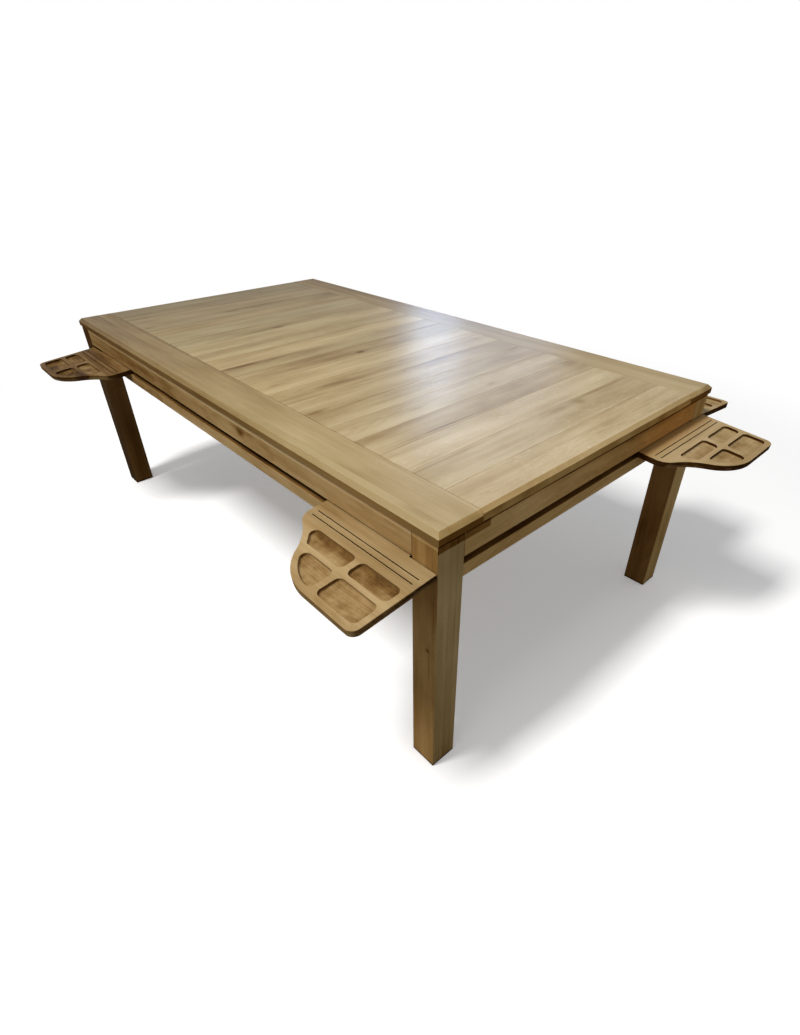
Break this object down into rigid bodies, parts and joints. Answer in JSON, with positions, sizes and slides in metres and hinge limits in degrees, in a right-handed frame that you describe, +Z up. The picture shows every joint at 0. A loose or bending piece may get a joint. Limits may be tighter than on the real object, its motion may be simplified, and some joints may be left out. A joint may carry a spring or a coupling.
{
  "type": "board game table with plug-in trays",
  "caption": "Plank-topped mahjong and board game table on square legs, with a lift-off topper over a sunken well and a slot all round that holds sliding tile trays.",
  "frame": {"origin": "on the floor under the middle of the whole outline, trays included", "axes": "+X along the table towards the end that carries a tray, +Y across it towards the back, +Z up"},
  "size_m": [2.4219, 1.6538, 0.78],
  "materials": {
    "plank_wood": "satin lacquer",
    "breadboard_wood": "satin lacquer",
    "leg_wood": "satin lacquer",
    "frame_wood": "satin lacquer",
    "tray_wood": "satin lacquer",
    "inner_wood": "planed, unfinished",
    "plywood": "sanded birch plywood",
    "dowel_wood": "fluted beech",
    "play_cloth": "cloth on foam",
    "pad_felt": "felt",
    "zinc_steel": "zinc plated",
    "nylon": "matte"
  },
  "bodies": {
    "table_frame": {"leg_front_left": "leg_wood", "foot_glide_front_left": "nylon", "corner_block_front_left": "inner_wood", "leg_front_right": "leg_wood", "foot_glide_front_right": "nylon", "corner_block_front_right": "inner_wood", "leg_back_left": "leg_wood", "foot_glide_back_left": "nylon", "corner_block_back_left": "inner_wood", "leg_back_right": "leg_wood", "foot_glide_back_right": "nylon", "corner_block_back_right": "inner_wood", "apron_front": "frame_wood", "slot_rail_front": "frame_wood", "slot_back_front": "frame_wood", "rim_front": "frame_wood", "well_wall_front": "frame_wood", "apron_back": "frame_wood", "slot_rail_back": "frame_wood", "slot_back_back": "frame_wood", "rim_back": "frame_wood", "well_wall_back": "frame_wood", "apron_left": "frame_wood", "slot_rail_left": "frame_wood", "slot_back_left": "frame_wood", "rim_left": "frame_wood", "well_wall_left": "frame_wood", "apron_right": "frame_wood", "slot_rail_right": "frame_wood", "slot_back_right": "frame_wood", "rim_right": "frame_wood", "well_wall_right": "frame_wood", "floor_bearer_1": "inner_wood", "floor_bearer_2": "inner_wood", "floor_bearer_3": "inner_wood", "well_floor": "plywood", "play_mat": "play_cloth", "apron_dowels": "dowel_wood", "slot_rail_dowels": "dowel_wood", "slot_back_dowels": "dowel_wood", "bearer_dowels": "dowel_wood", "floor_screws": "zinc_steel", "corner_block_screws": "zinc_steel", "hanger_bolts": "zinc_steel", "bolt_washers": "zinc_steel", "bolt_nuts": "zinc_steel"},
    "topper": {"topper_planks": "plank_wood", "breadboard_front": "breadboard_wood", "breadboard_back": "breadboard_wood", "topper_batten_front": "inner_wood", "topper_batten_back": "inner_wood", "batten_screws": "zinc_steel", "topper_pads": "pad_felt"},
    "front_left_tray": {"tray_front_left": "tray_wood"},
    "front_right_tray": {"tray_front_right": "tray_wood"},
    "right_end_tray": {"tray_right_end": "tray_wood"},
    "back_right_tray": {"tray_back_right": "tray_wood"}
  },
  "joints": [
    {"name": "topper_lift", "type": "slide", "parent": "table_frame", "child": "topper", "axis": [0, 0, 1], "range_m": [0, 0.4]},
    {"name": "front_left_tray_slide", "type": "slide", "parent": "table_frame", "child": "front_left_tray", "axis": [1, 0, 0], "range_m": [-0.103, 0.597]},
    {"name": "front_right_tray_slide", "type": "slide", "parent": "table_frame", "child": "front_right_tray", "axis": [-1, 0, 0], "range_m": [0, 0.69]},
    {"name": "right_end_tray_slide", "type": "slide", "parent": "table_frame", "child": "right_end_tray", "axis": [0, -1, 0], "range_m": [0, 0.723]},
    {"name": "back_right_tray_slide", "type": "slide", "parent": "table_frame", "child": "back_right_tray", "axis": [-1, 0, 0], "range_m": [0, 1.713]}
  ]
}
